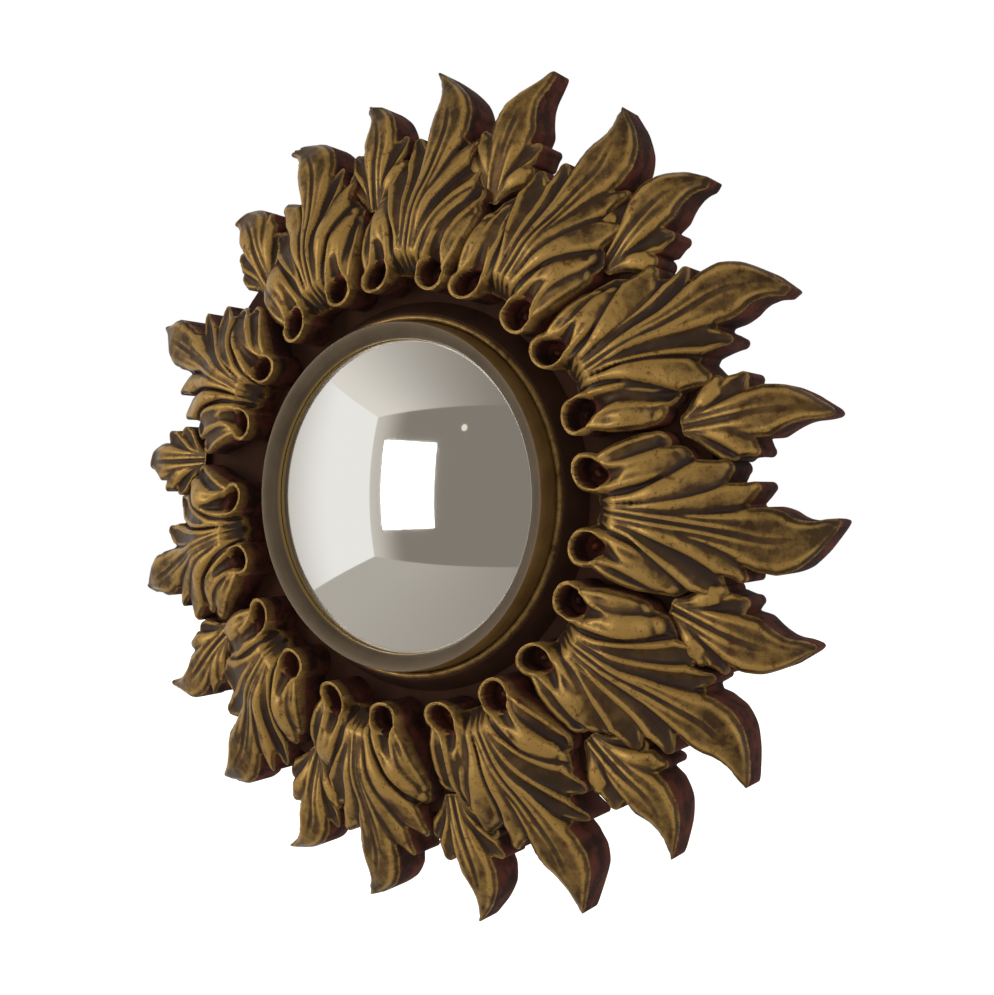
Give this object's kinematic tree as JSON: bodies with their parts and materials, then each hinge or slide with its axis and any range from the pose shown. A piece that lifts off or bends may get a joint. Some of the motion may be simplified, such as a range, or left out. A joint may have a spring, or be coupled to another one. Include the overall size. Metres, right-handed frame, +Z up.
{
  "type": "convex wall mirror",
  "caption": "Round convex wall mirror in a carved and gilded sunburst frame of acanthus leaves with paired scrolls, closed behind and hung from a ring.",
  "frame": {"origin": "centre of the flat back face, on the axis of the glass", "axes": "-Y out of the mirror towards the viewer, +Y into the wall, +Z up, +X to the viewer's right"},
  "size_m": [0.5934, 0.064, 0.6024],
  "materials": {
    "gilt_wood": "carved wood, gilded over red bole, rubbed bright on the high places, dark patina in the low ones",
    "gilt_bead": "gilded and rubbed",
    "bronzed_wood": "satin bronze paint with a worn inner edge",
    "patinated_wood": "dark brown stain over red bole in front, bare limewood behind",
    "silvered_glass": "silvered convex glass",
    "board": "plain hardboard",
    "pine": "sawn pine",
    "steel": "bright steel",
    "brass": "dull brass"
  },
  "bodies": {
    "frame": {"mirror_glass": "silvered_glass", "sight_ring": "bronzed_wood", "bead_moulding": "gilt_bead", "backing_ring": "patinated_wood", "back_board": "board", "glue_blocks": "pine", "button_screws": "steel", "hanger_strap": "brass", "hanger_screws": "brass", "front_leaf_01": "gilt_wood", "back_leaf_01": "gilt_wood", "front_leaf_02": "gilt_wood", "back_leaf_02": "gilt_wood", "front_leaf_03": "gilt_wood", "back_leaf_03": "gilt_wood", "front_leaf_04": "gilt_wood", "back_leaf_04": "gilt_wood", "front_leaf_05": "gilt_wood", "back_leaf_05": "gilt_wood", "front_leaf_06": "gilt_wood", "back_leaf_06": "gilt_wood", "front_leaf_07": "gilt_wood", "back_leaf_07": "gilt_wood", "front_leaf_08": "gilt_wood", "back_leaf_08": "gilt_wood", "front_leaf_09": "gilt_wood", "back_leaf_09": "gilt_wood", "front_leaf_10": "gilt_wood", "back_leaf_10": "gilt_wood", "front_leaf_11": "gilt_wood", "back_leaf_11": "gilt_wood"},
    "turn_button_1": {"turn_button_1": "steel"},
    "turn_button_2": {"turn_button_2": "steel"},
    "turn_button_3": {"turn_button_3": "steel"},
    "turn_button_4": {"turn_button_4": "steel"},
    "hanger_ring": {"hanger_ring": "brass"}
  },
  "joints": [
    {"name": "turn_button_1_turn", "type": "hinge", "parent": "frame", "child": "turn_button_1", "pos_m": [0.10062, -0.0071, 0.10062], "axis": [0, 1, 0], "continuous": true},
    {"name": "turn_button_2_turn", "type": "hinge", "parent": "frame", "child": "turn_button_2", "pos_m": [-0.10062, -0.0071, 0.10062], "axis": [0, 1, 0], "continuous": true},
    {"name": "turn_button_3_turn", "type": "hinge", "parent": "frame", "child": "turn_button_3", "pos_m": [-0.10062, -0.0071, -0.10062], "axis": [0, 1, 0], "continuous": true},
    {"name": "turn_button_4_turn", "type": "hinge", "parent": "frame", "child": "turn_button_4", "pos_m": [0.10062, -0.0071, -0.10062], "axis": [0, 1, 0], "continuous": true},
    {"name": "hanger_ring_swing", "type": "hinge", "parent": "frame", "child": "hanger_ring", "pos_m": [0, -0.00682, 0.199], "axis": [-1, 0, 0], "range_deg": [0, 180]}
  ]
}
